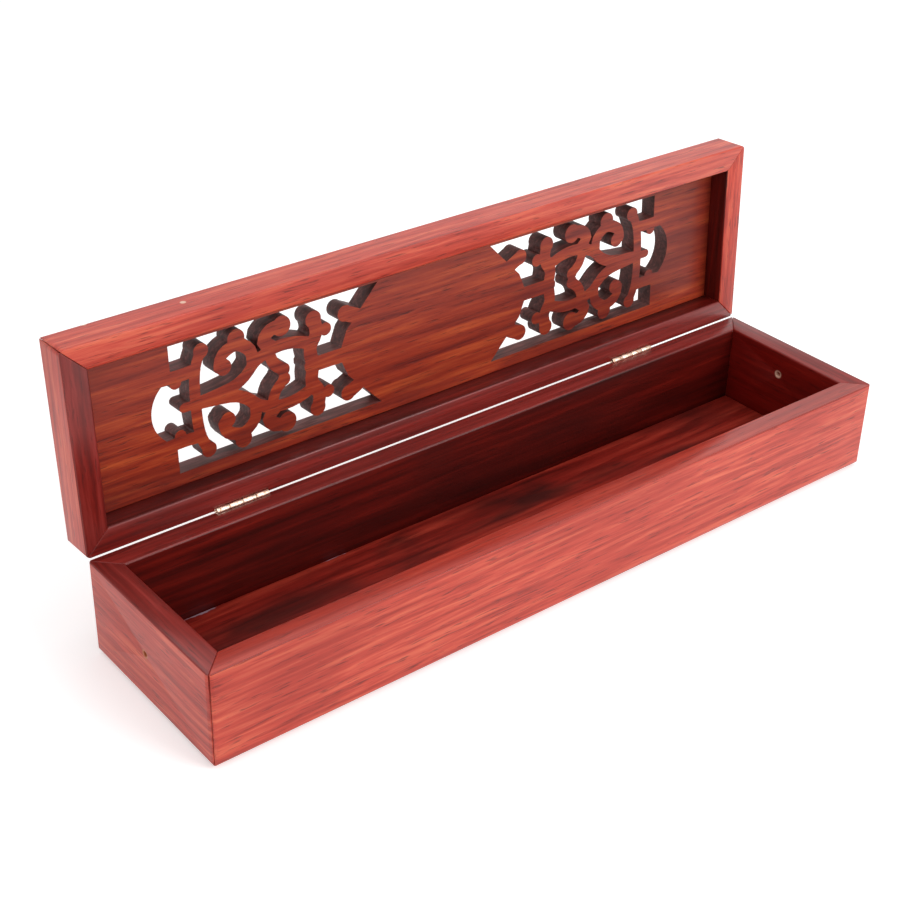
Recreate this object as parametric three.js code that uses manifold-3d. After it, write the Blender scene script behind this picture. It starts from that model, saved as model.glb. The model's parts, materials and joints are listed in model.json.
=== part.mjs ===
// Long hinged incense box in red rosewood, shown with its lid standing open.
// Millimetres. X runs along the box, Y from the front to the hinges, Z is up.
// The origin is the middle of the underside.
//
// Base and lid are built alike: a tray with four mitred sides and a panel let into a rebate.
// The lid is such a tray turned over, and its panel is sawn out into two scroll windows.

import * as THREE from 'three';
import { mergeVertices } from 'three/addons/utils/BufferGeometryUtils.js';
import Module from 'manifold-3d';

// Driving dimensions of the box
const BOX_LENGTH = 235;
const BOX_WIDTH = 58;
const BASE_HEIGHT = 28.5;
const LID_HEIGHT = 12;
const SIDE_THICKNESS = 7;
const BOTTOM_THICKNESS = 4.4;
const LID_PANEL_THICKNESS = 5.4;
const OPEN_ANGLE = 93;

// Joinery
const REBATE_WIDTH = 3;
const REBATE_HEIGHT = 3;
const GLUE_LINE = 0.1;
const CORNER_RADIUS = 1.6;
const OUTER_EDGE_RADIUS = 2.4;
const RIM_OUTER_RADIUS = 0.4;
const RIM_INNER_RADIUS = 0.6;
const EDGE_SEGMENTS = 4;

// Small holes drilled through the two ends
const VENT_RADIUS = 0.8;
const VENT_BEHIND_CENTRE = 1.6;
const LEFT_VENT_HEIGHT = 16;
const RIGHT_VENT_HEIGHT = 21;
const VENT_SEGMENTS = 16;

// Brass hinges, nailed to the outside of the back: the knuckles lie in the seam between the trays
const HINGE_LENGTH = 16.4;
const HINGE_CENTRE_FROM_END = 46;
const KNUCKLE_COUNT = 4;
const KNUCKLE_RADIUS = 0.9;
const KNUCKLE_BORE_RADIUS = 0.5;
const PIN_RADIUS = 0.38;
const PIN_OVERHANG = 0.2;
const LEAF_WIDTH = 5.6;
const LEAF_THICKNESS = 0.6;
const LEAF_OFFSET = 0.1;
const LEAF_SEAT = 0.1;
const RIM_GAP = 0.2;
const KNUCKLE_GAP = 0.12;
const HINGE_CLEARANCE = 0.25;
const HINGE_SEGMENTS = 20;

// Hinge nails, two in each leaf
const NAIL_SHANK_RADIUS = 0.45;
const NAIL_HEAD_RADIUS = 0.95;
const NAIL_HEAD_HEIGHT = 0.45;
const NAIL_POINT_LENGTH = 0.9;
const NAIL_LENGTH = 5;
const NAIL_SPACING = 9.2;
const NAIL_FROM_AXIS = 3.6;
const NAIL_SINK = 0.05;
const NAIL_CLEARANCE = 0.12;
const NAIL_SEGMENTS = 12;

// Scroll windows, one towards each end of the lid panel
const WINDOW_SIDE_MARGIN = 3.7;
const WINDOW_END_MARGIN = 18.5;
const SCROLL_STEPS = 3;
const SCROLL_CAP_STEPS = 5;
const SCROLL_DISC_SEGMENTS = 14;
const WINDOW_ARC_SEGMENTS = 10;

// The fret as drawn on the board: U runs from the middle of the lid towards its end,
// V from the centre line to one long edge, and the other half is its mirror image.
const FRET_HALF_HEIGHT = 18.3;
const FRET_INNER_CORNER = 20;
const FRET_SHOULDER = new THREE.Vector2(31, 6.8);
const FRET_TONGUE_ROOT = new THREE.Vector2(33, 2);
const FRET_OUTER_CORNER = 85.5;
const FRET_OUTER_END = 92;
const FRET_BULGE_HALF = 9.5;
const FRET_STROKES = [
  // Tongue of the board on the centre line
  { width: 4.4, points: [[30, 0], [43, 0]] },
  // Small curl on the slanting edge
  { width: 4.4, points: [[25, 8.8], [28.6, 10.8], [31.2, 12]] },
  // First scroll, rising from the end of the tongue
  { width: 4.2, points: [[42.4, 0.5], [43, 5], [40.8, 9], [41.4, 13]] },
  // Long band that sweeps from the first scroll to the post
  { width: 3.5, points: [[42.5, 6.5], [48, 8.4], [54, 8.6], [60, 6.6], [63.8, 3.2], [68.5, 1.2], [79, 0]] },
  // Second scroll, curling back over the band
  { width: 4, points: [[54.6, 8.6], [57.4, 11.4], [55.2, 14], [51.8, 14.3]] },
  // Inner hooks, which meet on the centre line as a heart
  { width: 3.4, points: [[56, 7.6], [54.6, 4], [51.8, 1.5]] },
  // Third scroll, an open ring
  { width: 3.6, points: [[61.2, 5.6], [61.6, 10], [65.5, 12.9], [70, 11.4], [71.2, 8.2]] },
  // Post near the end
  { width: 3.2, points: [[79, 0], [78.9, 5], [78.2, 10], [76.6, 13.8]] },
  // Branch from the post into the board
  { width: 3.6, points: [[78.4, 9.6], [83, 9.4], [89, 9.6]] },
  // Pip behind the post
  { width: 2.6, points: [[79, 0], [82.6, 0]] },
];
const FRET_HEADS = [
  { centre: [31.2, 12], radius: 2.4 },
  { centre: [37.8, 9.3], radius: 1.9 },
  { centre: [41.5, 13.2], radius: 2.5 },
  { centre: [51.6, 14.2], radius: 2.9 },
  { centre: [51.8, 1.4], radius: 2 },
  { centre: [65.6, 14.7], radius: 2.6 },
  { centre: [69.9, 7.7], radius: 2.3 },
  { centre: [76.2, 14.3], radius: 2.2 },
  { centre: [84.3, 7.6], radius: 1.7 },
];

// Overshoot of a cutting solid beyond the face that it cuts
const CUT_OVER = 1;
const MERGE_TOLERANCE = 1e-5;

// Fits worked out from the dimensions above
const innerHalfLength = BOX_LENGTH / 2 - SIDE_THICKNESS;
const innerHalfWidth = BOX_WIDTH / 2 - SIDE_THICKNESS;
const axisFromCentre = BOX_WIDTH / 2 + LEAF_SEAT - LEAF_OFFSET;
const hingeCentres = [-1, 1].map((side) => side * (BOX_LENGTH / 2 - HINGE_CENTRE_FROM_END));
const windowHalfHeight = innerHalfWidth - WINDOW_SIDE_MARGIN;
const fretScale = windowHalfHeight / FRET_HALF_HEIGHT;

const kernel = await Module();
kernel.setup();

/** Turns a closed three.js geometry into a solid that can be joined and cut. */
function toSolid(geometry) {
  const bare = geometry.clone();
  bare.deleteAttribute('normal');
  bare.deleteAttribute('uv');
  const merged = mergeVertices(bare, MERGE_TOLERANCE);
  return new kernel.Manifold(new kernel.Mesh({
    numProp: 3,
    vertProperties: merged.attributes.position.array,
    triVerts: Uint32Array.from(merged.index.array),
  }));
}

/** Turns a solid back into a geometry. */
function toGeometry(solid) {
  const mesh = solid.getMesh();
  const geometry = new THREE.BufferGeometry();
  geometry.setAttribute('position', new THREE.BufferAttribute(mesh.vertProperties, 3));
  geometry.setIndex(new THREE.BufferAttribute(mesh.triVerts, 1));
  geometry.computeVertexNormals();
  return geometry;
}

/** A block given by its lowest corner and its size. */
function block(low, size) {
  const geometry = new THREE.BoxGeometry(...size);
  geometry.translate(low[0] + size[0] / 2, low[1] + size[1] / 2, low[2] + size[2] / 2);
  return geometry;
}

/** A flat shape given thickness upwards from z = 0. */
function slab(shape, thickness, segments = EDGE_SEGMENTS) {
  const options = { depth: thickness, bevelEnabled: false, curveSegments: segments };
  return new THREE.ExtrudeGeometry(shape, options);
}

/** A round bar along X. */
function barAlongX(radius, length, segments) {
  const geometry = new THREE.CylinderGeometry(radius, radius, length, segments);
  geometry.rotateZ(Math.PI / 2);
  return geometry;
}

/** Section of a tray's side: x is the depth from the outer face, y the height. */
function sideProfile(height) {
  const shape = new THREE.Shape();
  const quarter = Math.PI / 2;
  const rebateDepth = SIDE_THICKNESS - REBATE_WIDTH;
  shape.moveTo(OUTER_EDGE_RADIUS, 0);
  shape.lineTo(rebateDepth, 0);
  shape.lineTo(rebateDepth, REBATE_HEIGHT);
  shape.lineTo(SIDE_THICKNESS, REBATE_HEIGHT);
  shape.lineTo(SIDE_THICKNESS, height - RIM_INNER_RADIUS);
  const innerArc = SIDE_THICKNESS - RIM_INNER_RADIUS;
  shape.absarc(innerArc, height - RIM_INNER_RADIUS, RIM_INNER_RADIUS, 0, quarter, false);
  shape.lineTo(RIM_OUTER_RADIUS, height);
  shape.absarc(RIM_OUTER_RADIUS, height - RIM_OUTER_RADIUS, RIM_OUTER_RADIUS, quarter, 2 * quarter, false);
  shape.lineTo(0, OUTER_EDGE_RADIUS);
  shape.absarc(OUTER_EDGE_RADIUS, OUTER_EDGE_RADIUS, OUTER_EDGE_RADIUS, 2 * quarter, 3 * quarter, false);
  return shape;
}

/** One side of a tray. The deeper a point lies, the shorter the side is there: that cuts the mitres. */
function mitredSide(height, run, faceDistance) {
  const geometry = slab(sideProfile(height), 1);
  const position = geometry.attributes.position;
  const setback = GLUE_LINE / Math.SQRT2;
  for (let i = 0; i < position.count; i += 1) {
    const depth = position.getX(i);
    const rise = position.getY(i);
    const end = 2 * position.getZ(i) - 1;
    position.setXYZ(i, end * (run / 2 - setback - depth), depth - faceDistance, rise);
  }
  return geometry;
}

/** Rounded rectangle of the whole box, which eases the upright corners. */
function cornerEnvelope(height) {
  const halfLength = BOX_LENGTH / 2;
  const halfWidth = BOX_WIDTH / 2;
  const shape = new THREE.Shape();
  const corners = [[1, 1, 0], [-1, 1, 1], [-1, -1, 2], [1, -1, 3]];
  for (const [alongX, alongY, turns] of corners) {
    const start = turns * Math.PI / 2;
    shape.absarc(
      alongX * (halfLength - CORNER_RADIUS),
      alongY * (halfWidth - CORNER_RADIUS),
      CORNER_RADIUS,
      start,
      start + Math.PI / 2,
      false,
    );
  }
  return toSolid(slab(shape, height));
}

/** The four sides of a tray: front, right, back and left, seen from above. */
function traySides(height) {
  const envelope = cornerEnvelope(height);
  return [0, 1, 2, 3].map((turns) => {
    const isLong = turns % 2 === 0;
    const run = isLong ? BOX_LENGTH : BOX_WIDTH;
    const across = isLong ? BOX_WIDTH : BOX_LENGTH;
    const side = mitredSide(height, run, across / 2);
    side.rotateZ(turns * Math.PI / 2);
    return toSolid(side).intersect(envelope);
  });
}

/** Panel of a tray: a slab between the sides, with a lip that fills the rebate. */
function trayPanel(thickness) {
  const halfX = innerHalfLength - GLUE_LINE;
  const halfY = innerHalfWidth - GLUE_LINE;
  const lipX = halfX + REBATE_WIDTH;
  const lipY = halfY + REBATE_WIDTH;
  const field = block([-halfX, -halfY, 0], [2 * halfX, 2 * halfY, thickness]);
  const lip = block([-lipX, -lipY, 0], [2 * lipX, 2 * lipY, REBATE_HEIGHT - GLUE_LINE]);
  return toSolid(field).add(toSolid(lip));
}

/** Places a drawn point of the fret on the panel. */
function onPanel([u, v]) {
  const outerEnd = innerHalfLength - WINDOW_END_MARGIN;
  return new THREE.Vector2(outerEnd + (u - FRET_OUTER_END) * fretScale, v * fretScale);
}

/** Outline of a window: straight long edges, a pointed inner end and a bulging outer end. */
function windowShape() {
  const shape = new THREE.Shape();
  const sagitta = (FRET_OUTER_END - FRET_OUTER_CORNER) * fretScale;
  const halfChord = FRET_BULGE_HALF * fretScale;
  const bulgeRadius = (halfChord ** 2 + sagitta ** 2) / (2 * sagitta);
  const bulgeCentre = onPanel([FRET_OUTER_END, 0]).x - bulgeRadius;
  const bulgeAngle = Math.asin(halfChord / bulgeRadius);
  const corners = [
    [FRET_INNER_CORNER, FRET_HALF_HEIGHT],
    [FRET_SHOULDER.x, FRET_SHOULDER.y],
    [FRET_TONGUE_ROOT.x, FRET_TONGUE_ROOT.y],
    [FRET_TONGUE_ROOT.x, -FRET_TONGUE_ROOT.y],
    [FRET_SHOULDER.x, -FRET_SHOULDER.y],
    [FRET_INNER_CORNER, -FRET_HALF_HEIGHT],
    [FRET_OUTER_CORNER, -FRET_HALF_HEIGHT],
    [FRET_OUTER_CORNER, -FRET_BULGE_HALF],
  ].map(onPanel);
  shape.moveTo(corners[0].x, corners[0].y);
  for (const point of corners.slice(1)) {
    shape.lineTo(point.x, point.y);
  }
  shape.absarc(bulgeCentre, 0, bulgeRadius, -bulgeAngle, bulgeAngle, false);
  const lastCorner = onPanel([FRET_OUTER_CORNER, FRET_HALF_HEIGHT]);
  shape.lineTo(lastCorner.x, lastCorner.y);
  return shape;
}

/** A ribbon of one width along a smooth curve, with round ends. */
function strokeShape(points, width) {
  const curve = new THREE.SplineCurve(points);
  const steps = SCROLL_STEPS * (points.length - 1);
  const outline = [];
  const addPoint = (t, turn) => {
    const direction = curve.getTangent(t).rotateAround(new THREE.Vector2(), turn);
    outline.push(curve.getPoint(t).addScaledVector(direction, width / 2));
  };
  for (let i = 0; i <= steps; i += 1) {
    addPoint(i / steps, -Math.PI / 2);
  }
  for (let i = 1; i < SCROLL_CAP_STEPS; i += 1) {
    addPoint(1, -Math.PI / 2 + Math.PI * i / SCROLL_CAP_STEPS);
  }
  for (let i = steps; i >= 0; i -= 1) {
    addPoint(i / steps, Math.PI / 2);
  }
  for (let i = 1; i < SCROLL_CAP_STEPS; i += 1) {
    addPoint(0, Math.PI / 2 + Math.PI * i / SCROLL_CAP_STEPS);
  }
  return new THREE.Shape(outline);
}

/** A round scroll head. */
function headShape(centre, radius) {
  const shape = new THREE.Shape();
  shape.absarc(centre.x, centre.y, radius, 0, 2 * Math.PI, false);
  return shape;
}

/** The scrolls of one window, as one solid: what lies off the centre line is there twice, mirrored. */
function scrollwork(thickness) {
  const pieces = [];
  for (const { width, points } of FRET_STROKES) {
    const onCentreLine = points.every(([, v]) => v === 0);
    for (const mirror of onCentreLine ? [1] : [1, -1]) {
      const placed = points.map(([u, v]) => onPanel([u, mirror * v]));
      pieces.push(toSolid(slab(strokeShape(placed, width * fretScale), thickness)));
    }
  }
  for (const { centre: [u, v], radius } of FRET_HEADS) {
    for (const mirror of [1, -1]) {
      const shape = headShape(onPanel([u, mirror * v]), radius * fretScale);
      pieces.push(toSolid(slab(shape, thickness, SCROLL_DISC_SEGMENTS)));
    }
  }
  return pieces.reduce((joined, piece) => joined.add(piece));
}

/** Lid panel: the board is sawn out and the scrolls stay standing in both windows. */
function fretworkPanel() {
  let panel = trayPanel(LID_PANEL_THICKNESS);
  const opening = slab(windowShape(), LID_PANEL_THICKNESS + 2 * CUT_OVER, WINDOW_ARC_SEGMENTS);
  opening.translate(0, 0, -CUT_OVER);
  const scrolls = toGeometry(scrollwork(LID_PANEL_THICKNESS));
  for (const turn of [0, Math.PI]) {
    panel = panel.subtract(toSolid(opening.clone().rotateZ(turn)));
    panel = panel.add(toSolid(scrolls.clone().rotateZ(turn)));
  }
  return panel;
}

/** Turned outline of a nail, or of the hole for it when it is given clearance. */
function nailGeometry(clearance) {
  const shank = NAIL_SHANK_RADIUS + clearance;
  const head = NAIL_HEAD_RADIUS + clearance;
  const profile = [
    new THREE.Vector2(0, -NAIL_LENGTH - clearance),
    new THREE.Vector2(shank, -NAIL_LENGTH + NAIL_POINT_LENGTH - clearance),
    new THREE.Vector2(shank, -NAIL_HEAD_HEIGHT - clearance),
    new THREE.Vector2(head, -clearance),
  ];
  if (clearance > 0) {
    profile.push(new THREE.Vector2(head, CUT_OVER));
    profile.push(new THREE.Vector2(0, CUT_OVER));
  } else {
    profile.push(new THREE.Vector2(0, 0));
  }
  const geometry = new THREE.LatheGeometry(profile, NAIL_SEGMENTS);
  geometry.rotateX(-Math.PI / 2);
  return geometry;
}

// A leaf is made lying flat: the axis is X, and the leaf reaches towards -Y just under the axis.
// Its underside is the face that shows, and the nails are driven upwards through it.
const leafTop = -LEAF_OFFSET;
const leafFloor = leafTop - LEAF_THICKNESS;
const nailHeadLevel = leafFloor + NAIL_SINK;
// A quarter turn stands it up against the back, with its underside facing out
const leafTurn = Math.PI / 2;
const knucklePitch = HINGE_LENGTH / KNUCKLE_COUNT;
const plateEdge = -(KNUCKLE_RADIUS + HINGE_CLEARANCE);
const nailSpots = [-1, 1].map((side) => side * NAIL_SPACING / 2);

/** One hinge leaf with every second knuckle. */
function hingeLeaf() {
  const plateReach = LEAF_WIDTH + plateEdge;
  const plateLow = [-HINGE_LENGTH / 2, -LEAF_WIDTH, leafFloor];
  let leaf = toSolid(block(plateLow, [HINGE_LENGTH, plateReach, LEAF_THICKNESS]));
  for (let i = 0; i < KNUCKLE_COUNT; i += 2) {
    const low = -HINGE_LENGTH / 2 + i * knucklePitch + KNUCKLE_GAP / 2;
    const length = knucklePitch - KNUCKLE_GAP;
    const barrel = barAlongX(KNUCKLE_RADIUS, length, HINGE_SEGMENTS).translate(low + length / 2, 0, 0);
    const tabReach = KNUCKLE_RADIUS + HINGE_CLEARANCE + CUT_OVER / 2;
    const tabSize = [length, tabReach - KNUCKLE_BORE_RADIUS / 2, LEAF_THICKNESS];
    const tab = block([low, -tabReach, leafFloor], tabSize);
    leaf = leaf.add(toSolid(barrel)).add(toSolid(tab));
  }
  const bore = barAlongX(KNUCKLE_BORE_RADIUS, HINGE_LENGTH + 2 * CUT_OVER, HINGE_SEGMENTS);
  leaf = leaf.subtract(toSolid(bore));
  for (const x of nailSpots) {
    leaf = leaf.subtract(toSolid(nailGeometry(NAIL_CLEARANCE).translate(x, -NAIL_FROM_AXIS, nailHeadLevel)));
  }
  return toGeometry(leaf).rotateX(leafTurn);
}

/** Room in a tray for the barrel and the nails of one leaf. */
function hingeRecess() {
  const length = HINGE_LENGTH + 2 * HINGE_CLEARANCE;
  let recess = toSolid(barAlongX(KNUCKLE_RADIUS + HINGE_CLEARANCE, length, HINGE_SEGMENTS));
  for (const x of nailSpots) {
    const hole = nailGeometry(NAIL_CLEARANCE).translate(x, -NAIL_FROM_AXIS, nailHeadLevel);
    recess = recess.add(toSolid(hole));
  }
  return toGeometry(recess).rotateX(leafTurn);
}

const rosewoodOuter = { color: 0xa8483c, roughness: 0.42, metalness: 0 };
const rosewoodInner = { color: 0x6e1a16, roughness: 0.45, metalness: 0 };
const rosewoodPanel = { color: 0x8a3a1e, roughness: 0.45, metalness: 0 };
const brass = { color: 0xd9b48a, roughness: 0.32, metalness: 1 };
const steel = { color: 0xb9a894, roughness: 0.4, metalness: 1 };

/** A named piece with a material of its own. */
function piece(name, geometry, finish) {
  const mesh = new THREE.Mesh(geometry, new THREE.MeshStandardMaterial(finish));
  mesh.name = name;
  return mesh;
}

const leafGeometry = hingeLeaf();
const nail = nailGeometry(0).rotateX(leafTurn);

/** Cuts the hinge recesses into the side that carries the hinges. */
function withHingeRecesses(side, axisY, axisZ, turn) {
  let cut = side;
  for (const x of hingeCentres) {
    const recess = hingeRecess();
    recess.rotateZ(turn);
    recess.translate(x, axisY, axisZ);
    cut = cut.subtract(toSolid(recess));
  }
  return cut;
}

/** Drills a vent through an end at the given height. */
function withVent(end, x, height) {
  const drill = barAlongX(VENT_RADIUS, SIDE_THICKNESS + 2 * CUT_OVER, VENT_SEGMENTS);
  drill.translate(x - Math.sign(x) * SIDE_THICKNESS / 2, VENT_BEHIND_CENTRE, height);
  return end.subtract(toSolid(drill));
}

/** The leaves and nails that one tray carries, each hinge in a group on its axis. */
function hingeHalves(owner, axisY, axisZ, turn) {
  const halves = new THREE.Group();
  hingeCentres.forEach((x, index) => {
    const hand = index === 0 ? 'left' : 'right';
    const half = new THREE.Group();
    half.position.set(x, axisY, axisZ);
    half.rotation.z = turn;
    half.add(piece(`${hand}_hinge_${owner}_leaf`, leafGeometry.clone(), brass));
    nailSpots.forEach((spot, number) => {
      const pinNail = piece(`${hand}_hinge_${owner}_nail_${number + 1}`, nail.clone(), steel);
      pinNail.position.set(spot, -nailHeadLevel, -NAIL_FROM_AXIS);
      half.add(pinNail);
    });
    halves.add(half);
  });
  return halves;
}

/** The lower tray, with its hinge halves and the two hinge pins. */
function baseGroup() {
  const axisZ = BASE_HEIGHT + RIM_GAP / 2;
  const [front, right, back, left] = traySides(BASE_HEIGHT);
  const backWall = withHingeRecesses(back, axisFromCentre, axisZ, 0);
  const leftEnd = withVent(left, -BOX_LENGTH / 2, LEFT_VENT_HEIGHT);
  const rightEnd = withVent(right, BOX_LENGTH / 2, RIGHT_VENT_HEIGHT);
  const base = new THREE.Group();
  base.add(piece('base_front_wall', toGeometry(front), rosewoodOuter));
  base.add(piece('base_back_wall', toGeometry(backWall), rosewoodOuter));
  base.add(piece('base_left_end', toGeometry(leftEnd), rosewoodOuter));
  base.add(piece('base_right_end', toGeometry(rightEnd), rosewoodOuter));
  base.add(piece('base_bottom_board', toGeometry(trayPanel(BOTTOM_THICKNESS)), rosewoodInner));
  base.add(hingeHalves('base', axisFromCentre, axisZ, 0));
  const pinLength = HINGE_LENGTH + 2 * PIN_OVERHANG;
  hingeCentres.forEach((x, index) => {
    const name = index === 0 ? 'left_hinge_pin' : 'right_hinge_pin';
    const pin = piece(name, barAlongX(PIN_RADIUS, pinLength, HINGE_SEGMENTS), steel);
    pin.position.set(x, axisFromCentre, axisZ);
    base.add(pin);
  });
  return base;
}

/** The lid: a tray turned over on the hinge axis and swung open. */
function lidGroup() {
  const axisY = -axisFromCentre;
  const axisZ = LID_HEIGHT + RIM_GAP / 2;
  const [back, right, front, left] = traySides(LID_HEIGHT);
  const tray = new THREE.Group();
  tray.add(piece('lid_front_rail', toGeometry(front), rosewoodOuter));
  const backRail = withHingeRecesses(back, axisY, axisZ, Math.PI);
  tray.add(piece('lid_back_rail', toGeometry(backRail), rosewoodOuter));
  tray.add(piece('lid_left_rail', toGeometry(left), rosewoodOuter));
  tray.add(piece('lid_right_rail', toGeometry(right), rosewoodOuter));
  tray.add(piece('lid_fretwork_panel', toGeometry(fretworkPanel()), rosewoodPanel));
  tray.add(hingeHalves('lid', axisY, axisZ, Math.PI));
  tray.position.set(0, -axisY, -axisZ);
  const lid = new THREE.Group();
  lid.add(tray);
  lid.position.set(0, axisFromCentre, BASE_HEIGHT + RIM_GAP / 2);
  lid.rotation.x = Math.PI - THREE.MathUtils.degToRad(OPEN_ANGLE);
  return lid;
}

const group = new THREE.Group();
group.add(baseGroup());
group.add(lidGroup());

export default group;
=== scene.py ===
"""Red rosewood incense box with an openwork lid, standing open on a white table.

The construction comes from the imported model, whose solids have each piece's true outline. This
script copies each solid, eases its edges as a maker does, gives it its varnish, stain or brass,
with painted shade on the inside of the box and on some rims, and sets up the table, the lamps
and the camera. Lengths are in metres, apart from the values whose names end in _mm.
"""

import json
import logging
import math
from dataclasses import dataclass, field, replace
from enum import Enum
from functools import cache
from typing import Any, Callable

import bpy
from mathutils import Matrix, Vector


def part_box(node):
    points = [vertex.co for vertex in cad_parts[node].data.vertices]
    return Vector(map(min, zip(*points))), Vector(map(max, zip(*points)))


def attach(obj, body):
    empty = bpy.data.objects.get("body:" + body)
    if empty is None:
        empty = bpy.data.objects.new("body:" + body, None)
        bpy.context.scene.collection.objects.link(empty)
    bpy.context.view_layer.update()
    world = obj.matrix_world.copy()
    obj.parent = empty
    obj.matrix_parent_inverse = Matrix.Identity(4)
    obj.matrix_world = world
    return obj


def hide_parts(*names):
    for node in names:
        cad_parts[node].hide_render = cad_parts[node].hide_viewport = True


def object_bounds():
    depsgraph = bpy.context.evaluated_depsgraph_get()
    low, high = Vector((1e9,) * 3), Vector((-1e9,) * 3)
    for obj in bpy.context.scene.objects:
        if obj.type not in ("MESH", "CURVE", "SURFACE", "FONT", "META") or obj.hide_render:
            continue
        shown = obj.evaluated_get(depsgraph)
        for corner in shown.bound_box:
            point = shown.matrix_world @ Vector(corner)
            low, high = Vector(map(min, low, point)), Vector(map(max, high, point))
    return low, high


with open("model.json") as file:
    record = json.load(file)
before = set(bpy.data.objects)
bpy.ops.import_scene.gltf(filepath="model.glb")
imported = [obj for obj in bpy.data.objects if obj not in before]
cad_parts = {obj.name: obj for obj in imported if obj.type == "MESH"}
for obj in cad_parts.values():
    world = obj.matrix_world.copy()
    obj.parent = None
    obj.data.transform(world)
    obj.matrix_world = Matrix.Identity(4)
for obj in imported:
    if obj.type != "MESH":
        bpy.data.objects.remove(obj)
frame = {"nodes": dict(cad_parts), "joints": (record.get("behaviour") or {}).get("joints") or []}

LOG = logging.getLogger("incense_box")
MM = 0.001
CAD_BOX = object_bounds()

# Sockets of a Mix node that mixes colours, which share their names with those for other data
MIX_SHARE, MIX_UNDER, MIX_OVER, MIX_RESULT = 0, 6, 7, 2

# Corners of the CAD's loose triangles that lie closer than this are one corner
MERGE_REACH = 0.002 * MM
# Facets that turn by less than this are one flat face, and edges sharper than this are eased
FLAT_ANGLE = math.radians(0.4)
SHARP_ANGLE = math.radians(50)
# An eased edge has this many facets across it
EASING_FACETS = 2
# A face whose normal rises or falls by less than this stands upright
UPRIGHT_RISE = 0.5


class GrainAxis(Enum):
    """The way the grain of a piece runs, in the frame of the open box."""

    ALONG_X = 0
    ALONG_Y = 1
    ALONG_Z = 2

    def stretch(self, along_mm: float, across_mm: float) -> tuple[float, float, float]:
        """Works out the scale of a Mapping node for features of a real size.

        Args:
            along_mm: Length of a feature along the grain.
            across_mm: Width of a feature across it.

        Returns:
            The scale in X, Y and Z.
        """
        scale = [1 / (across_mm * MM)] * 3
        scale[self.value] = 1 / (along_mm * MM)
        return (scale[0], scale[1], scale[2])


class Face(Enum):
    """The groups of faces that are finished alike."""

    OUTSIDE = "outside"
    INSIDE = "inside"
    RIM = "rim"
    SAWN = "sawn wall"
    WHOLE = "whole piece"


class Hand(Enum):
    """The end of the box that a hinge is nearer to."""

    LEFT = "left"
    RIGHT = "right"


FaceChooser = Callable[[Vector, Vector], Face]


def linear(hex_colour: str) -> tuple[float, float, float, float]:
    """Turns an sRGB hex colour into Blender's linear colour.

    Args:
        hex_colour: Six hex digits, with or without a leading #.

    Returns:
        Linear red, green and blue, and full alpha.
    """
    digits = hex_colour.lstrip("#")
    parts = [int(digits[i:i + 2], 16) / 255 for i in (0, 2, 4)]
    made = [c / 12.92 if c <= 0.04045 else ((c + 0.055) / 1.055) ** 2.4 for c in parts]
    return (made[0], made[1], made[2], 1.0)


def add_node(
    tree: bpy.types.NodeTree, kind: str, inputs: dict[Any, Any] | None = None, **settings: Any
) -> bpy.types.Node:
    """Adds one node with its settings, values and links.

    Args:
        tree: The tree that takes the node.
        kind: The node's type name.
        inputs: Values or output sockets, by the name or number of the input.
        settings: Properties of the node itself.

    Returns:
        The new node.
    """
    node = tree.nodes.new(kind)
    for name, value in settings.items():
        setattr(node, name, value)
    for socket, value in (inputs or {}).items():
        if isinstance(value, bpy.types.NodeSocket):
            tree.links.new(value, node.inputs[socket])
        else:
            node.inputs[socket].default_value = value
    return node


def set_stops(ramp: bpy.types.Node, places: tuple[float, ...], colours: tuple[str, ...]) -> None:
    """Gives a colour ramp its stops.

    Args:
        ramp: A Color Ramp node.
        places: Where each stop is, from 0 to 1.
        colours: The hex colour of each stop.
    """
    elements = ramp.color_ramp.elements
    while len(elements) < len(places):
        elements.new(0.5)
    for element, place, colour in zip(elements, places, colours):
        element.position = place
        element.color = linear(colour)


def new_tree(name: str) -> tuple[bpy.types.Material, bpy.types.NodeTree]:
    """Makes an empty node material.

    Args:
        name: The material's name.

    Returns:
        The material and its emptied tree.
    """
    material = bpy.data.materials.new(name)
    material.use_nodes = True
    material.node_tree.nodes.clear()
    return material, material.node_tree


def lay_over(
    tree: bpy.types.NodeTree,
    under: bpy.types.NodeSocket,
    over: str,
    level: bpy.types.NodeSocket,
    limits: tuple[float, float],
    strength: float,
) -> tuple[bpy.types.NodeSocket, bpy.types.NodeSocket]:
    """Lays one colour over another, where a level passes from one limit to the other.

    Args:
        tree: The tree that takes the nodes.
        under: The colour below.
        over: The hex colour that is laid over it.
        level: The value that decides where.
        limits: The levels at which the new colour starts and is full.
        strength: Share of the new colour where it is full.

    Returns:
        The new colour, and the share of the laid colour at each point.
    """
    share = add_node(tree, "ShaderNodeMapRange", {
        "Value": level, "From Min": limits[0], "From Max": limits[1], "To Max": strength,
    }).outputs[0]
    mixed = add_node(tree, "ShaderNodeMix", {
        MIX_SHARE: share, MIX_UNDER: under, MIX_OVER: linear(over),
    }, data_type="RGBA")
    return mixed.outputs[MIX_RESULT], share


def seen_directly(tree: bpy.types.NodeTree) -> bpy.types.NodeSocket:
    """Tells what the camera or a gloss sees from what only lights the box.

    Args:
        tree: The tree that takes the nodes.

    Returns:
        1 for a camera ray or a glossy ray, and 0 for any other.
    """
    path = add_node(tree, "ShaderNodeLightPath")
    return add_node(tree, "ShaderNodeMath", {
        0: path.outputs["Is Camera Ray"], 1: path.outputs["Is Glossy Ray"],
    }, operation="MAXIMUM").outputs[0]


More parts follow.
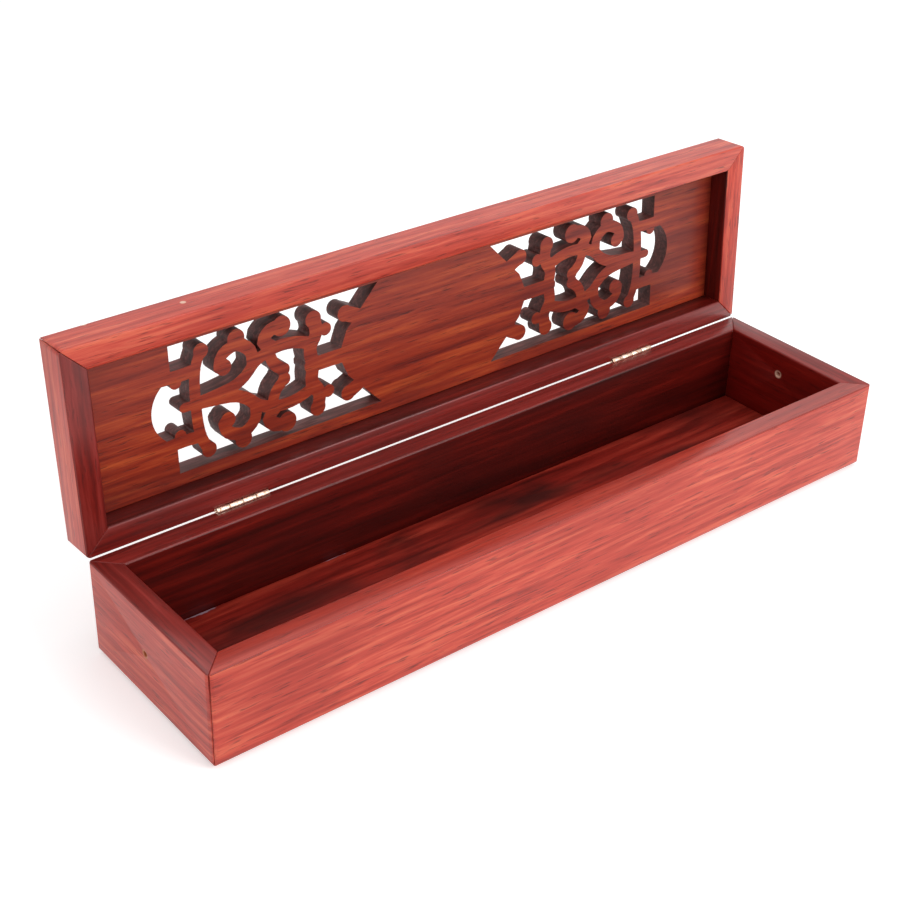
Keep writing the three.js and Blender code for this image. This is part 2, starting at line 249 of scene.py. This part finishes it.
@dataclass(frozen=True)
class RoundMark:
    """A round mark in the wood, such as filler over a brad. Its core has the full colour."""

    centre: tuple[float, float, float]
    radius: float
    colour: str
    core: float = 0.7

    def lay(
        self, tree: bpy.types.NodeTree, coords: bpy.types.NodeSocket, under: bpy.types.NodeSocket
    ) -> bpy.types.NodeSocket:
        """Lays the mark over a colour.

        Args:
            tree: The tree that takes the nodes.
            coords: Object coordinates in metres.
            under: The colour of the wood below.

        Returns:
            The colour with the mark on it.
        """
        distance = add_node(tree, "ShaderNodeVectorMath", {
            0: coords, 1: self.centre,
        }, operation="DISTANCE")
        limits = (self.radius, self.radius * self.core)
        return lay_over(tree, under, self.colour, distance.outputs["Value"], limits, 1.0)[0]


@dataclass(frozen=True)
class GlueSmear:
    """A ragged smear of dried glue, drawn out along a seam that runs in X.

    It is stretch times as long as it is wide. Tearing, edge and core are shares of the radius:
    how far the edge is torn, and where the glue starts and is full. The drops of glue in that
    edge are drop_mm across.
    """

    x: float
    seam_y: float
    radius: float
    colour: str
    stretch: float = 7.0
    drop_mm: float = 2.0
    tearing: float = 1.6
    edge: float = 1.9
    core: float = 1.5
    strength: float = 0.85

    def lay(
        self, tree: bpy.types.NodeTree, coords: bpy.types.NodeSocket, under: bpy.types.NodeSocket
    ) -> bpy.types.NodeSocket:
        """Lays the smear over a colour.

        Args:
            tree: The tree that takes the nodes.
            coords: Object coordinates in metres.
            under: The colour of the wood below.

        Returns:
            The colour with the smear on it.
        """
        drawn = add_node(tree, "ShaderNodeMapping", {
            "Vector": coords, "Location": (-self.x, -self.seam_y * self.stretch, 0),
            "Scale": (1, self.stretch, 0),
        })
        reach = add_node(tree, "ShaderNodeVectorMath", {0: drawn.outputs[0]}, operation="LENGTH")
        drops = add_node(tree, "ShaderNodeTexNoise", {
            "Vector": coords, "Scale": 1 / (self.drop_mm * MM),
        })
        torn = add_node(tree, "ShaderNodeMath", {
            0: drops.outputs[0], 1: self.radius * self.tearing, 2: reach.outputs["Value"],
        }, operation="MULTIPLY_ADD")
        limits = (self.radius * self.edge, self.radius * self.core)
        return lay_over(tree, under, self.colour, torn.outputs[0], limits, self.strength)[0]


# What a wood finish can carry on top of its grain
Mark = RoundMark | GlueSmear


@dataclass(frozen=True)
class GrainMarks:
    """Marks that are drawn out along the grain, by their real length and width.

    Octaves and fineness say how far smaller marks break them up, and waviness how far they
    wander from the straight.
    """

    length_mm: float
    width_mm: float
    octaves: float
    fineness: float
    waviness: float = 0.35

    def level(
        self, tree: bpy.types.NodeTree, coords: bpy.types.NodeSocket, axis: GrainAxis
    ) -> bpy.types.NodeSocket:
        """Adds the noise that places the marks.

        Args:
            tree: The tree that takes the nodes.
            coords: Object coordinates in metres.
            axis: The way the grain runs.

        Returns:
            The noise value, from 0 to 1.
        """
        mapping = add_node(tree, "ShaderNodeMapping", {
            "Vector": coords, "Scale": axis.stretch(self.length_mm, self.width_mm),
        })
        noise = add_node(tree, "ShaderNodeTexNoise", {
            "Vector": mapping.outputs[0], "Scale": 1.0, "Detail": self.octaves,
            "Roughness": self.fineness, "Distortion": self.waviness,
        })
        return noise.outputs[0]


@dataclass(frozen=True)
class Streaks(GrainMarks):
    """Streaks of the growth rings, one to three millimetres wide."""

    length_mm: float = 55.0
    width_mm: float = 2.4
    octaves: float = 6.0
    fineness: float = 0.6


@dataclass(frozen=True)
class Clouds(GrainMarks):
    """Broad darker figure of the heartwood, a finger wide."""

    length_mm: float = 60.0
    width_mm: float = 16.0
    octaves: float = 3.0
    fineness: float = 0.5


@dataclass(frozen=True)
class Pores(GrainMarks):
    """Open pores. Real ones are 0.1 to 0.3 mm wide, and these are coarser so that they show."""

    length_mm: float = 7.0
    width_mm: float = 0.45
    octaves: float = 2.0
    fineness: float = 0.5


@dataclass(frozen=True)
class WoodFinish:
    """Stained rosewood: streaks, a broad figure and open pores under a satin coat.

    The dark, mid and light shades of the streaks lie at shade_places of their noise. The figure
    and the pores come in between the limits of theirs. The clouds of the figure also make the
    wood a little glossier or duller, by gloss_change, between gloss_limits. Streaks stand up
    and pores sink in by relief_mm, of which the share in relief shows.
    """

    name: str
    dark: str
    mid: str
    light: str
    figure: str
    pore: str
    streaks: GrainMarks = Streaks()
    clouds: GrainMarks = Clouds()
    pores: GrainMarks = Pores()
    shade_places: tuple[float, ...] = (0.3, 0.5, 0.72)
    figure_limits: tuple[float, float] = (0.48, 0.68)
    figure_strength: float = 0.45
    pore_limits: tuple[float, float] = (0.6, 0.7)
    pore_strength: float = 0.5
    relief: float = 0.18
    relief_mm: float = 0.25
    roughness: float = 0.4
    gloss_limits: tuple[float, float] = (0.3, 0.7)
    gloss_change: tuple[float, float] = (-0.05, 0.07)
    ior: float = 1.5
    specular: float = 0.5
    coat: float = 0.3
    coat_roughness: float = 0.22

    @cache
    def material(self, axis: GrainAxis, marks: tuple[Mark, ...] = ()) -> bpy.types.Material:
        """Builds the material for one direction of the grain, once for each set of marks.

        Args:
            axis: The way the grain runs.
            marks: Filler, torn wood and glue that the piece shows.

        Returns:
            The finished material.
        """
        material, tree = new_tree(f"{self.name}_{axis.name.lower()}")
        coords = add_node(tree, "ShaderNodeTexCoord").outputs["Object"]
        streaks = self.streaks.level(tree, coords, axis)
        clouds = self.clouds.level(tree, coords, axis)
        pores = self.pores.level(tree, coords, axis)
        ramp = add_node(tree, "ShaderNodeValToRGB", {"Fac": streaks})
        set_stops(ramp, self.shade_places, (self.dark, self.mid, self.light))
        colour, _ = lay_over(
            tree, ramp.outputs["Color"], self.figure, clouds,
            self.figure_limits, self.figure_strength,
        )
        colour, hollows = lay_over(
            tree, colour, self.pore, pores, self.pore_limits, self.pore_strength,
        )
        for mark in marks:
            colour = mark.lay(tree, coords, colour)
        height = add_node(tree, "ShaderNodeMath", {0: streaks, 1: hollows}, operation="SUBTRACT")
        bump = add_node(tree, "ShaderNodeBump", {
            "Height": height.outputs[0], "Strength": self.relief,
            "Distance": self.relief_mm * MM,
        })
        gloss = add_node(tree, "ShaderNodeMapRange", {
            "Value": clouds, "From Min": self.gloss_limits[0], "From Max": self.gloss_limits[1],
            "To Min": self.roughness + self.gloss_change[0],
            "To Max": self.roughness + self.gloss_change[1],
        })
        shader = add_node(tree, "ShaderNodeBsdfPrincipled", {
            "Base Color": colour, "Roughness": gloss.outputs[0], "Normal": bump.outputs[0],
            "IOR": self.ior, "Specular IOR Level": self.specular, "Coat Weight": self.coat,
            "Coat Roughness": self.coat_roughness,
        })
        add_node(tree, "ShaderNodeOutputMaterial", {"Surface": shader.outputs[0]})
        return material


@dataclass(frozen=True)
class MetalFinish:
    """Small metal fittings, tumbled bright on their high places and tarnished in their pits.

    The tarnish passes to bright metal between tarnish_places of the noise, and the pits are
    rougher by pit_roughness, which fades out between pit_limits. They are relief_mm deep, of
    which the share in relief shows. Real tumbling marks are 0.1 to 0.3 mm across, and pit_mm is
    coarser so that they show.
    """

    name: str
    bright: str
    tarnish: str
    roughness: float
    pit_mm: float = 0.8
    pit_octaves: float = 4.0
    pit_limits: tuple[float, float] = (0.3, 0.6)
    pit_roughness: float = 0.2
    tarnish_places: tuple[float, ...] = (0.34, 0.5)
    relief: float = 0.25
    relief_mm: float = 0.08

    @cache
    def material(self) -> bpy.types.Material:
        """Builds the material, once for all the pieces of this metal.

        Returns:
            The finished material.
        """
        material, tree = new_tree(self.name)
        coords = add_node(tree, "ShaderNodeTexCoord").outputs["Object"]
        pits = add_node(tree, "ShaderNodeTexNoise", {
            "Vector": coords, "Scale": 1 / (self.pit_mm * MM), "Detail": self.pit_octaves,
        }).outputs[0]
        ramp = add_node(tree, "ShaderNodeValToRGB", {"Fac": pits})
        set_stops(ramp, self.tarnish_places, (self.tarnish, self.bright))
        rough = add_node(tree, "ShaderNodeMapRange", {
            "Value": pits, "From Min": self.pit_limits[0], "From Max": self.pit_limits[1],
            "To Min": self.roughness + self.pit_roughness, "To Max": self.roughness,
        })
        bump = add_node(tree, "ShaderNodeBump", {
            "Height": pits, "Strength": self.relief, "Distance": self.relief_mm * MM,
        })
        shader = add_node(tree, "ShaderNodeBsdfPrincipled", {
            "Base Color": ramp.outputs["Color"], "Metallic": 1.0,
            "Roughness": rough.outputs[0], "Normal": bump.outputs[0],
        })
        add_node(tree, "ShaderNodeOutputMaterial", {"Surface": shader.outputs[0]})
        return material


@dataclass(frozen=True)
class LaminateFinish:
    """Matt laminate, with a glow that lifts it to the white of the room where it is seen."""

    name: str
    colour: str
    glow_colour: str
    glow: float

    def material(self) -> bpy.types.Material:
        """Builds the material of the table.

        Returns:
            The finished material.
        """
        material, tree = new_tree(self.name)
        strength = add_node(tree, "ShaderNodeMath", {
            0: seen_directly(tree), 1: self.glow,
        }, operation="MULTIPLY")
        matt = add_node(tree, "ShaderNodeBsdfDiffuse", {"Color": linear(self.colour)})
        glow = add_node(tree, "ShaderNodeEmission", {
            "Color": linear(self.glow_colour), "Strength": strength.outputs[0],
        })
        both = add_node(tree, "ShaderNodeAddShader", {0: matt.outputs[0], 1: glow.outputs[0]})
        add_node(tree, "ShaderNodeOutputMaterial", {"Surface": both.outputs[0]})
        return material


# Dried wood glue is milky, filler over the brads is pale, and a drilled edge is raw wood
GLUE_COLOUR = "#b59aa8"
FILLER_COLOUR = "#e3b8a0"
RAW_WOOD_COLOUR = "#b5643a"
# The room round the box is plain white where it is seen
ROOM_WHITE = "#ffffff"

# Rosewood, planed, stained warm red and varnished thinly: narrow pale streaks with dark pores
# and a soft sheen, where light and hands have faded the stain
OUTER_WOOD = WoodFinish(
    "varnished_rosewood_outside", dark="#92200f", mid="#c4402e", light="#e06c4c",
    figure="#a02c20", pore="#5c130c", streaks=Streaks(length_mm=34.0, width_mm=1.7),
    pore_strength=0.7, specular=0.4, coat=0.14,
)
# Rosewood, sanded and stained, with a thin varnish: the rims are painted dark and even, partly
# as a deeper stain and partly as painted shade, with fine streaks and a slightly sharper sheen
RIM_WOOD = WoodFinish(
    "stained_and_shaded_rosewood_rims", dark="#580e0a", mid="#7c1b14", light="#97302a",
    figure="#4e0f0c", pore="#300604", streaks=Streaks(width_mm=1.5), roughness=0.38,
    specular=0.4, coat=0.15,
)
# The same on the front rim, painted lighter with less painted shade: between the rims and the
# outside
FRONT_RIM_WOOD = replace(
    RIM_WOOD, name="lighter_rosewood_front_rim", dark="#8a1d10", mid="#a93020",
    light="#c24a36", figure="#8c2418",
)
# Rosewood, sawn, sanded and stained dark with hardly any varnish: a deep, nearly matt red, with
# painted shade of the box's inside that makes it darker still
INNER_WOOD = WoodFinish(
    "stained_and_shaded_rosewood_inside", dark="#3c0805", mid="#5e0f0a", light="#821c12",
    figure="#2c0806", pore="#220403", roughness=0.42, specular=0.3, coat=0.08,
)
# The same stain and painted shade on the two ends of the base, painted redder
INNER_END_WOOD = replace(
    INNER_WOOD, name="stained_and_shaded_rosewood_inner_ends", dark="#5c0c07", mid="#7e120b",
    light="#9a2015", figure="#520a06",
)
# Rosewood, sawn, sanded and lightly stained: a streaky board with dark heartwood clouds
FLOOR_WOOD = WoodFinish(
    "stained_rosewood_bottom", dark="#5a0f0a", mid="#8e231a", light="#b9402f",
    figure="#2e0b09", pore="#280806", clouds=Clouds(length_mm=42.0, width_mm=13.0),
    figure_strength=0.9, roughness=0.42, specular=0.3, coat=0.1,
)
# Rosewood, planed and lightly stained: the inner face of the lid's board, whose streaks are
# orange and brown, with dark pores and little sheen
FRET_WOOD = WoodFinish(
    "stained_rosewood_fretwork", dark="#6a1409", mid="#982f17", light="#bd5026",
    figure="#5c1208", pore="#300804", streaks=Streaks(length_mm=38.0, width_mm=1.9),
    figure_strength=0.6, pore_strength=0.65, roughness=0.42, specular=0.35, coat=0.1,
)
# Rosewood as the fret saw left it, stained but not varnished: short blotches, dull and greyish
SAWN_WOOD = WoodFinish(
    "sawn_rosewood_edges", dark="#38130e", mid="#5d2a24", light="#8e4c48",
    figure="#3a1a14", pore="#240b08", streaks=Streaks(length_mm=9.0, width_mm=1.2),
    roughness=0.6, coat=0.0,
)
# Brass, rolled and tumbled: pale gold that is bright on the knuckles, with brown specks
HINGE_BRASS = MetalFinish(
    "tumbled_brass_hinges", bright="#f0d6c2", tarnish="#b08a70", roughness=0.3,
)
# Steel nails and pins, drawn and brass plated: a greyer, duller gold with worn brown heads
NAIL_STEEL = MetalFinish(
    "brassed_steel_nails", bright="#d9c4b0", tarnish="#8a6a55", roughness=0.36,
)
# Laminate, pressed and matt: plain white that keeps the box's soft shadow
TABLE_LAMINATE = LaminateFinish(
    "white_laminate", colour="#ededed", glow_colour=ROOM_WHITE, glow=0.42,
)


def deselect() -> None:
    """Leaves nothing selected."""
    for other in bpy.context.selected_objects:
        other.select_set(False)


def eased_copy(node: str, easing_mm: float, smooth_degrees: float) -> bpy.types.Object:
    """Copies a node's shape, merges it and eases its sharp edges.

    Args:
        node: The node's name.
        easing_mm: Width of the easing, or 0 where the edges stay as they were cut.
        smooth_degrees: Edges flatter than this are shaded smooth.

    Returns:
        The finished copy.
    """
    piece = bpy.data.objects.new(f"{node}_finished", frame["nodes"][node].data.copy())
    bpy.context.scene.collection.objects.link(piece)
    deselect()
    piece.select_set(True)
    bpy.context.view_layer.objects.active = piece
    bpy.ops.object.mode_set(mode="EDIT")
    bpy.ops.mesh.select_all(action="SELECT")
    bpy.ops.mesh.remove_doubles(threshold=MERGE_REACH)
    if easing_mm > 0:
        bpy.ops.mesh.dissolve_limited(angle_limit=FLAT_ANGLE)
    bpy.ops.object.mode_set(mode="OBJECT")
    if easing_mm > 0:
        bevel = piece.modifiers.new("eased_edges", "BEVEL")
        bevel.width = easing_mm * MM
        bevel.segments = EASING_FACETS
        bevel.limit_method = "ANGLE"
        bevel.angle_limit = SHARP_ANGLE
        bevel.use_clamp_overlap = False
        bpy.ops.object.modifier_apply(modifier=bevel.name)
    bpy.ops.object.shade_smooth_by_angle(angle=math.radians(smooth_degrees))
    deselect()
    return piece


def lay_finishes(
    piece: bpy.types.Object, finishes: dict[Face, bpy.types.Material], choose: FaceChooser
) -> None:
    """Gives each face of a piece its finish.

    Args:
        piece: The piece to dress.
        finishes: The material of each group of faces.
        choose: Tells a face's group from its centre and normal.
    """
    groups = list(finishes)
    piece.data.materials.clear()
    for material in finishes.values():
        piece.data.materials.append(material)
    for face in piece.data.polygons:
        face.material_index = groups.index(choose(face.center, face.normal))


def lay_one_finish(piece: bpy.types.Object, material: bpy.types.Material) -> None:
    """Gives a piece the same finish all over."""
    lay_finishes(piece, {Face.WHOLE: material}, lambda centre, normal: Face.WHOLE)


def finish_piece(piece: bpy.types.Object, node: str, body: str) -> None:
    """Puts a piece in its node's place and reports it.

    Args:
        piece: The finished piece.
        node: The node that it stands for.
        body: The body that it moves with.
    """
    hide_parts(node)
    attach(piece, body)
    LOG.info("%s: %d faces on %s", piece.name, len(piece.data.polygons), body)


@dataclass
class InnerRoom:
    """The room inside the closed box, seen from above.

    Faces in the rounding of the sides' inner edges belong to it too, with a little slack.
    """

    half_length: float = field(init=False)
    half_width: float = field(init=False)
    rounding: float = 0.6 * MM
    slack: float = 1.02

    def __post_init__(self) -> None:
        """Reads the room from the inner faces of the front wall and the left end."""
        self.half_width = -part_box("base_front_wall")[1].y
        self.half_length = -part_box("base_left_end")[1].x

    def holds(self, point: Vector) -> bool:
        """Whether a point lies inside the sides' inner faces, their rounding included."""
        reach = self.rounding * self.slack
        return abs(point.x) < self.half_length + reach and abs(point.y) < self.half_width + reach


@dataclass
class BaseTray:
    """The lower tray: four mitred sides and the bottom board.

    Each end has a small drilled vent with a torn edge, on the outside at the left and on the
    inside at the right. Two smears of glue, each given by its X and radius, lie on the back
    seam of the bottom. Faces within rim_depth of the top edge belong to the rim.
    """

    room: InnerRoom
    sides: tuple[tuple[str, GrainAxis], ...] = (
        ("base_front_wall", GrainAxis.ALONG_X),
        ("base_back_wall", GrainAxis.ALONG_X),
        ("base_left_end", GrainAxis.ALONG_Y),
        ("base_right_end", GrainAxis.ALONG_Y),
    )
    bottom: str = "base_bottom_board"
    easing_mm: float = 0.15
    smooth_degrees: float = 35.0
    rim_depth: float = 0.2 * MM
    smears: tuple[tuple[float, float], ...] = ((-90.5 * MM, 5.5 * MM), (-47.5 * MM, 3.8 * MM))
    vent_y: float = 1.6 * MM
    left_vent_height: float = 16 * MM
    right_vent_height: float = 21 * MM
    torn_radius: float = 1.5 * MM
    rim: float = field(init=False)
    pieces: dict[str, bpy.types.Object] = field(default_factory=dict)

    def __post_init__(self) -> None:
        """Reads the height of the rim."""
        self.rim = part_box("base_front_wall")[1].z

    def build(self) -> None:
        """Eases the edges of the sides and of the bottom."""
        for node in [side for side, _ in self.sides] + [self.bottom]:
            self.pieces[node] = eased_copy(node, self.easing_mm, self.smooth_degrees)

    def dress(self) -> None:
        """Varnishes the outside, stains the inside dark with painted shade, and smears the glue
        on the bottom.
        """
        torn = self.torn_edges()
        for node, axis in self.sides:
            marks = torn.get(node, ())
            # The inside's colour is its dark stain with painted shade of the box's inside on it
            inner_wood = INNER_END_WOOD if axis is GrainAxis.ALONG_Y else INNER_WOOD
            # The rims' dark colour is partly painted shade, and the front rim's is painted
            # lighter
            rim_wood = FRONT_RIM_WOOD if node == "base_front_wall" else RIM_WOOD
            lay_finishes(self.pieces[node], {
                Face.OUTSIDE: OUTER_WOOD.material(axis, marks),
                Face.INSIDE: inner_wood.material(axis, marks),
                Face.RIM: rim_wood.material(axis),
            }, self.side_face)
            finish_piece(self.pieces[node], node, "base")
        glue = tuple(
            GlueSmear(x, self.room.half_width, radius, GLUE_COLOUR) for x, radius in self.smears
        )
        floor = FLOOR_WOOD.material(GrainAxis.ALONG_X, glue)
        lay_one_finish(self.pieces[self.bottom], floor)
        finish_piece(self.pieces[self.bottom], self.bottom, "base")

    def torn_edges(self) -> dict[str, tuple[RoundMark, ...]]:
        """Places the torn edges of the vents.

        Returns:
            The marks of each end: raw wood at the left, and pale filler at the right.
        """
        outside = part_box("base_left_end")[0].x
        inside = self.room.half_length
        left = (outside, self.vent_y, self.left_vent_height)
        right = (inside, self.vent_y, self.right_vent_height)
        return {
            "base_left_end": (RoundMark(left, self.torn_radius, RAW_WOOD_COLOUR),),
            "base_right_end": (RoundMark(right, self.torn_radius, FILLER_COLOUR),),
        }

    def side_face(self, centre: Vector, normal: Vector) -> Face:
        """Tells the rim, the inside and the outside of a side by their place.

        Args:
            centre: The face's centre.
            normal: The face's normal, which isn't needed here.

        Returns:
            The group that the face belongs to.
        """
        if centre.z > self.rim - self.rim_depth:
            return Face.RIM
        return Face.INSIDE if self.room.holds(centre) else Face.OUTSIDE


@dataclass
class LidTray:
    """The lid: four mitred rails and the fretwork panel, standing open.

    Its faces are told apart with the lid shut, where they lie square to the base. Two brads in
    the front rail are covered with filler, each given by its X and its height above the rim.
    """

    room: InnerRoom
    joint: dict[str, Any]
    rails: tuple[tuple[str, GrainAxis], ...] = (
        ("lid_front_rail", GrainAxis.ALONG_X),
        ("lid_back_rail", GrainAxis.ALONG_X),
        ("lid_left_rail", GrainAxis.ALONG_Z),
        ("lid_right_rail", GrainAxis.ALONG_Z),
    )
    # The lid's back and left rims get the dark rim colour as painted shade, its front and right
    # rims the outside's
    shaded_dark_rims: tuple[str, ...] = ("lid_back_rail", "lid_left_rail")
    panel: str = "lid_fretwork_panel"
    easing_mm: float = 0.15
    smooth_degrees: float = 35.0
    fret_smooth_degrees: float = 42.0
    rim_depth: float = 0.3 * MM
    brads: tuple[tuple[float, float], ...] = ((-105.5 * MM, 10.5 * MM), (-80 * MM, 6.5 * MM))
    brad_radius: float = 0.9 * MM
    rim: float = field(init=False)
    shut: Matrix = field(init=False)
    pieces: dict[str, bpy.types.Object] = field(default_factory=dict)

    def __post_init__(self) -> None:
        """Works out the rim's height and the move that shuts the lid, from its joint."""
        pivot = Vector(self.joint["pos_m"])
        closed = math.radians(self.joint["range_deg"][0])
        turn = Matrix.Rotation(closed, 4, Vector(self.joint["axis"]))
        self.rim = pivot.z
        self.shut = Matrix.Translation(pivot) @ turn @ Matrix.Translation(-pivot)

    def build(self) -> None:
        """Eases the edges of the rails, and leaves those of the fret as they were sawn."""
        for node, _ in self.rails:
            self.pieces[node] = eased_copy(node, self.easing_mm, self.smooth_degrees)
        self.pieces[self.panel] = eased_copy(self.panel, 0.0, self.fret_smooth_degrees)

    def dress(self) -> None:
        """Varnishes the outside, stains the inside with painted shade and leaves the sawn walls
        bare.
        """
        for node, axis in self.rails:
            marks = self.filled_brads() if node == "lid_front_rail" else ()
            # Painted shade on the back and left rims, and the outside's colour on the others
            rim_wood = RIM_WOOD if node in self.shaded_dark_rims else OUTER_WOOD
            lay_finishes(self.pieces[node], {
                Face.OUTSIDE: OUTER_WOOD.material(axis, marks),
                # The lid's inside is painted dark, with painted shade of the lid's inside
                Face.INSIDE: INNER_WOOD.material(axis),
                Face.RIM: rim_wood.material(axis),
            }, self.rail_face)
            finish_piece(self.pieces[node], node, "lid")
        panel = self.pieces[self.panel]
        lay_finishes(panel, {
            Face.INSIDE: FRET_WOOD.material(GrainAxis.ALONG_X),
            Face.OUTSIDE: OUTER_WOOD.material(GrainAxis.ALONG_X),
            Face.SAWN: SAWN_WOOD.material(GrainAxis.ALONG_X),
        }, self.panel_face)
        for face in panel.data.polygons:
            face.use_smooth = self.panel_face(face.center, face.normal) is Face.SAWN
        finish_piece(panel, self.panel, "lid")

    def filled_brads(self) -> tuple[RoundMark, ...]:
        """Places the filler over the brads, on the front of the open lid.

        Returns:
            One mark for each brad.
        """
        opened = self.shut.inverted()
        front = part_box("base_front_wall")[0].y
        places = [opened @ Vector((x, front, self.rim + above)) for x, above in self.brads]
        return tuple(
            RoundMark(tuple(place), self.brad_radius, FILLER_COLOUR) for place in places
        )

    def rail_face(self, centre: Vector, normal: Vector) -> Face:
        """Tells the rim, the inside and the outside of a rail.

        Args:
            centre: The face's centre on the open lid.
            normal: The face's normal there.

        Returns:
            The group that the face belongs to.
        """
        place = self.shut @ centre
        rise = (self.shut.to_3x3() @ normal).z
        if place.z < self.rim + self.rim_depth:
            return Face.RIM
        return Face.INSIDE if self.room.holds(place) and rise < UPRIGHT_RISE else Face.OUTSIDE

    def panel_face(self, centre: Vector, normal: Vector) -> Face:
        """Tells the two flat faces of the panel from the sawn walls.

        Args:
            centre: The face's centre on the open lid, which isn't needed here.
            normal: The face's normal there.

        Returns:
            The group that the face belongs to.
        """
        rise = (self.shut.to_3x3() @ normal).z
        if abs(rise) < UPRIGHT_RISE:
            return Face.SAWN
        return Face.INSIDE if rise < 0 else Face.OUTSIDE


@dataclass
class ButtHinge:
    """One brass butt hinge: two leaves, four nails and the pin."""

    hand: Hand
    leaf_slot: str = "hinge_brass"
    nail_slot: str = "hinge_nails_and_pins"
    nails_in_leaf: int = 2
    easing_mm: float = 0.08
    smooth_degrees: float = 40.0
    pieces: dict[str, bpy.types.Object] = field(default_factory=dict)

    def parts(self) -> list[tuple[str, str, str]]:
        """Names the hinge's pieces.

        Returns:
            Node, body and material slot of each piece.
        """
        name = f"{self.hand.value}_hinge"
        found = [(f"{name}_pin", "base", self.nail_slot)]
        for body in ("base", "lid"):
            found.append((f"{name}_{body}_leaf", body, self.leaf_slot))
            for number in range(1, self.nails_in_leaf + 1):
                found.append((f"{name}_{body}_nail_{number}", body, self.nail_slot))
        return found

    def build(self) -> None:
        """Rounds the edges of the leaves, and copies the pin and the nails as they are."""
        for node, _, slot in self.parts():
            easing_mm = self.easing_mm if slot == self.leaf_slot else 0.0
            self.pieces[node] = eased_copy(node, easing_mm, self.smooth_degrees)

    def dress(self) -> None:
        """Gives the leaves their brass, and the nails and the pin their plated steel."""
        for node, body, slot in self.parts():
            metal = HINGE_BRASS if slot == self.leaf_slot else NAIL_STEEL
            lay_one_finish(self.pieces[node], metal.material())
            finish_piece(self.pieces[node], node, body)


@dataclass(frozen=True)
class Lamp:
    """A soft square lamp that points at the box."""

    name: str
    place: tuple[float, float, float]
    size: float
    watts: float

    def build(self, target: Vector) -> None:
        """Adds the lamp.

        Args:
            target: The point that it is turned to.
        """
        data = bpy.data.lights.new(self.name, "AREA")
        data.size = self.size
        data.energy = self.watts
        lamp = bpy.data.objects.new(self.name, data)
        lamp.location = self.place
        lamp.rotation_mode = "QUATERNION"
        lamp.rotation_quaternion = (target - Vector(self.place)).to_track_quat("-Z", "Y")
        bpy.context.scene.collection.objects.link(lamp)


@dataclass
class Studio:
    """White table, soft lamps and the camera at the photograph's place.

    The camera's angles are in radians. Azimuth turns it from +Y towards +X, elevation tips it
    down, and roll leans it to the side.
    """

    camera_place: tuple[float, float, float] = (-0.2644, -0.2956, 0.2701)
    azimuth: float = 0.6825
    elevation: float = 0.54
    roll: float = 0.0238
    lens_mm: float = 66.65
    sensor_mm: float = 36.0
    table_size: float = 6.0
    table_drop: float = 0.2 * MM
    daylight: float = 0.5
    lamps: tuple[Lamp, ...] = (
        Lamp("key_lamp", place=(0.32, -0.72, 0.5), size=0.5, watts=4.6),
        Lamp("side_lamp", place=(-0.75, -0.1, 0.35), size=0.5, watts=1.0),
        Lamp("top_lamp", place=(0.1, 0.1, 0.9), size=0.7, watts=2.4),
    )

    def build(self) -> None:
        """Builds the table, the world, the lamps and the camera."""
        self._table()
        self._world()
        target = (CAD_BOX[0] + CAD_BOX[1]) / 2
        for lamp in self.lamps:
            lamp.build(target)
        self._camera()
        bpy.context.scene.view_settings.view_transform = "Standard"

    def _table(self) -> None:
        """Lays the white table just under the box."""
        deselect()
        bpy.ops.mesh.primitive_plane_add(size=self.table_size, location=(0, 0, -self.table_drop))
        table = bpy.context.active_object
        table.name = "white_table"
        table.data.materials.append(TABLE_LAMINATE.material())
        deselect()

    def _world(self) -> None:
        """Plain daylight, and white where the camera or a gloss sees it."""
        world = bpy.data.worlds.new("white_room")
        bpy.context.scene.world = world
        world.use_nodes = True
        tree = world.node_tree
        tree.nodes.clear()
        strength = add_node(tree, "ShaderNodeMapRange", {
            "Value": seen_directly(tree), "To Min": self.daylight, "To Max": 1.0,
        })
        light = add_node(tree, "ShaderNodeBackground", {
            "Color": linear(ROOM_WHITE), "Strength": strength.outputs[0],
        })
        add_node(tree, "ShaderNodeOutputWorld", {"Surface": light.outputs[0]})

    def _camera(self) -> None:
        """Sets the camera at the photograph's viewing angle."""
        sin_a, cos_a = math.sin(self.azimuth), math.cos(self.azimuth)
        sin_e, cos_e = math.sin(self.elevation), math.cos(self.elevation)
        forward = Vector((sin_a * cos_e, cos_a * cos_e, -sin_e))
        level = Vector((cos_a, -sin_a, 0))
        upright = level.cross(forward)
        right = level * math.cos(self.roll) + upright * math.sin(self.roll)
        up = upright * math.cos(self.roll) - level * math.sin(self.roll)
        data = bpy.data.cameras.new("photo_camera")
        data.sensor_width = self.sensor_mm
        data.lens = self.lens_mm
        camera = bpy.data.objects.new("photo_camera", data)
        turn = Matrix((right, up, -forward)).transposed().to_4x4()
        camera.matrix_world = Matrix.Translation(Vector(self.camera_place)) @ turn
        bpy.context.scene.collection.objects.link(camera)
        bpy.context.scene.camera = camera


def main() -> None:
    """Builds and dresses the box in order."""
    logging.basicConfig(level=logging.INFO, format="%(name)s: %(message)s")
    room = InnerRoom()
    hinge_joint = next(joint for joint in frame["joints"] if joint["name"] == "lid_hinge")
    hinges = [ButtHinge(hand) for hand in Hand]
    for assembly in (BaseTray(room), LidTray(room, hinge_joint), *hinges):
        assembly.build()
        assembly.dress()
    Studio().build()


if __name__ == "__main__":
    main()
